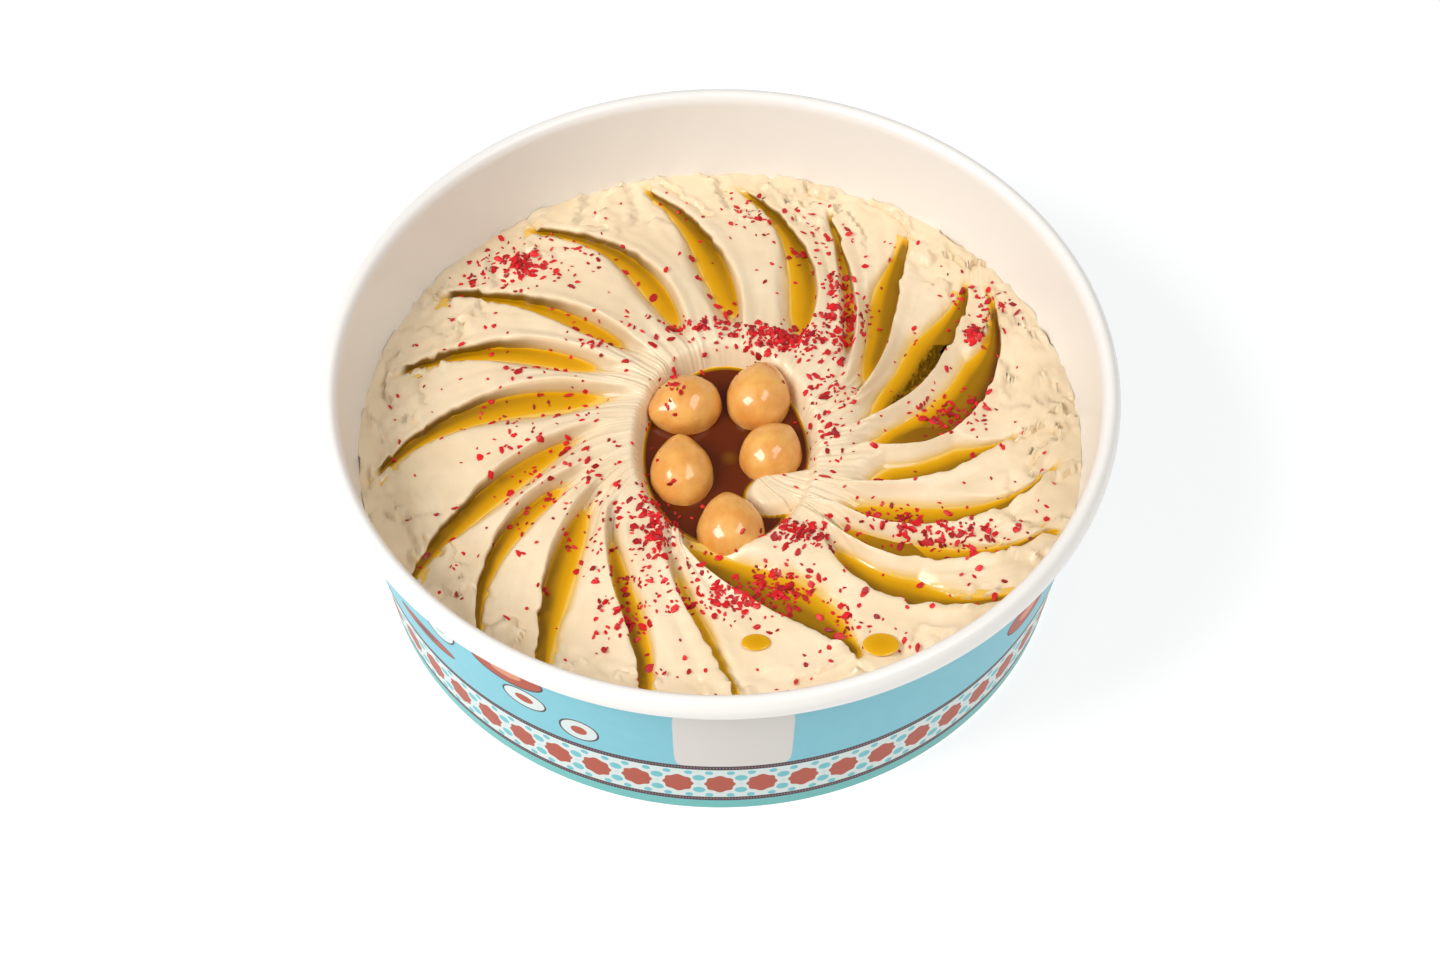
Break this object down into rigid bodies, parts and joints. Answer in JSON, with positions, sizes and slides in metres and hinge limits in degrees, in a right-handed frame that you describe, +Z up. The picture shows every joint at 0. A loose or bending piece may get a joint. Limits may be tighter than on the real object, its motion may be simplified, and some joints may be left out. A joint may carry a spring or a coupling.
{
  "type": "hummus in a paper tub",
  "caption": "Round paper tub with a rolled rim, filled with hummus swirled by spoon strokes, with olive oil in the grooves and chickpeas in a well at its middle.",
  "frame": {"origin": "centre of the tub's bottom edge, on the surface it stands on", "axes": "+Z up along the tub's axis; the front of the tub, with its blank plate in the print, faces -Y"},
  "size_m": [0.15, 0.15, 0.047],
  "materials": {
    "printed_paper": "coated board, white inside, printed in light blue outside",
    "plain_paper": "coated white board",
    "hummus": "smooth moist paste",
    "chickpea": "wet skin",
    "olive_oil": "clear golden liquid",
    "sumac": "coarse dry flakes"
  },
  "bodies": {
    "root": {"tub_wall": "printed_paper", "tub_base": "plain_paper", "hummus": "hummus", "chickpea_1": "chickpea", "chickpea_2": "chickpea", "chickpea_3": "chickpea", "chickpea_4": "chickpea", "chickpea_5": "chickpea", "oil_well": "olive_oil", "oil_01": "olive_oil", "oil_02": "olive_oil", "oil_03": "olive_oil", "oil_04": "olive_oil", "oil_05": "olive_oil", "oil_06": "olive_oil", "oil_07": "olive_oil", "oil_08": "olive_oil", "oil_09": "olive_oil", "oil_10": "olive_oil", "oil_11": "olive_oil", "oil_12": "olive_oil", "oil_13": "olive_oil", "oil_14": "olive_oil", "oil_15": "olive_oil", "oil_16": "olive_oil", "oil_17": "olive_oil", "oil_18": "olive_oil", "oil_19": "olive_oil", "oil_20": "olive_oil"}
  },
  "joints": []
}
